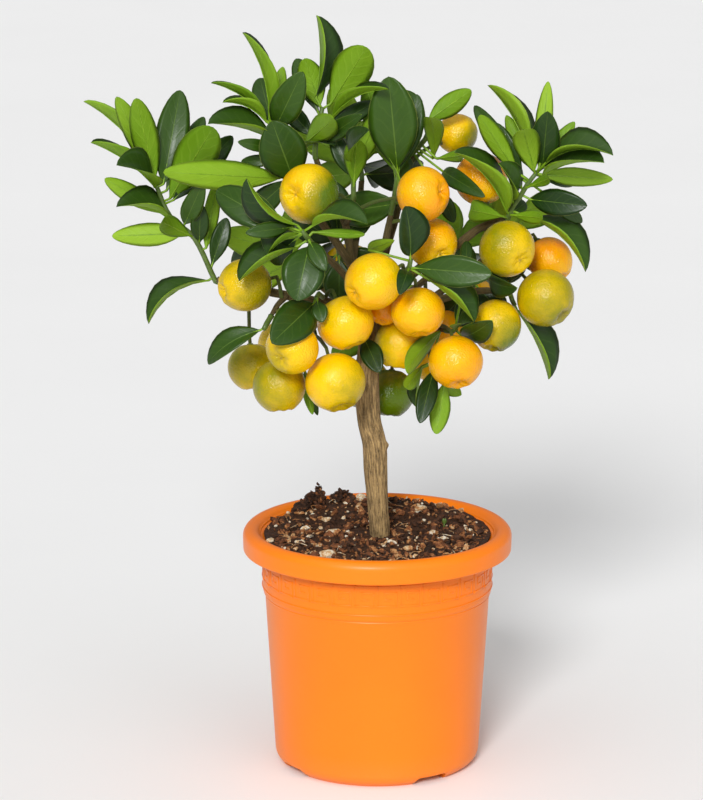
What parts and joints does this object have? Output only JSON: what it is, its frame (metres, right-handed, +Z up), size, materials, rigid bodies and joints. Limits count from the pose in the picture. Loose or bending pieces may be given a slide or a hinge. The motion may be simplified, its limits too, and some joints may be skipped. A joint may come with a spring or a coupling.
{
  "type": "potted calamondin",
  "caption": "Small calamondin tree with glossy leaves and round ripening fruit, growing from potting soil in a tapered plastic pot with a rolled rim and notched foot.",
  "frame": {"origin": "centre of the pot's underside, on the floor", "axes": "+Z up along the pot's axis, the plant's front faces -Y, +X to its right seen from the front"},
  "size_m": [0.3263, 0.2063, 0.4727],
  "materials": {
    "pot_plastic": "satin",
    "soil": "matte",
    "bark": "matte",
    "fruit_rind": "gloss",
    "leaf": "gloss"
  },
  "bodies": {
    "root": {"fruit_01": "fruit_rind", "fruit_02": "fruit_rind", "fruit_03": "fruit_rind", "fruit_04": "fruit_rind", "fruit_05": "fruit_rind", "fruit_06": "fruit_rind", "fruit_07": "fruit_rind", "fruit_08": "fruit_rind", "fruit_09": "fruit_rind", "fruit_10": "fruit_rind", "fruit_11": "fruit_rind", "fruit_12": "fruit_rind", "fruit_13": "fruit_rind", "fruit_14": "fruit_rind", "fruit_15": "fruit_rind", "fruit_16": "fruit_rind", "fruit_17": "fruit_rind", "fruit_18": "fruit_rind", "fruit_19": "fruit_rind", "fruit_20": "fruit_rind", "fruit_21": "fruit_rind", "fruit_22": "fruit_rind", "fruit_23": "fruit_rind", "fruit_24": "fruit_rind", "fruit_25": "fruit_rind", "fruit_26": "fruit_rind", "fruit_27": "fruit_rind", "pot": "pot_plastic", "potting_soil": "soil", "shoot_back_far_right": "leaf", "shoot_back_left": "leaf", "shoot_back_low": "leaf", "shoot_back_right": "leaf", "shoot_back_top": "leaf", "shoot_crown": "leaf", "shoot_crown_right": "leaf", "shoot_front_left": "leaf", "shoot_front_right": "leaf", "shoot_heart": "leaf", "shoot_heart_right": "leaf", "shoot_inner": "leaf", "shoot_left": "leaf", "shoot_left_leaf": "leaf", "shoot_left_spur": "leaf", "shoot_low_front": "leaf", "shoot_low_left": "leaf", "shoot_low_right": "leaf", "shoot_right": "leaf", "shoot_right_low": "leaf", "shoot_top": "leaf", "shoot_trunk": "leaf", "shoot_upper_left": "leaf", "trunk_and_branches": "bark"}
  },
  "joints": []
}
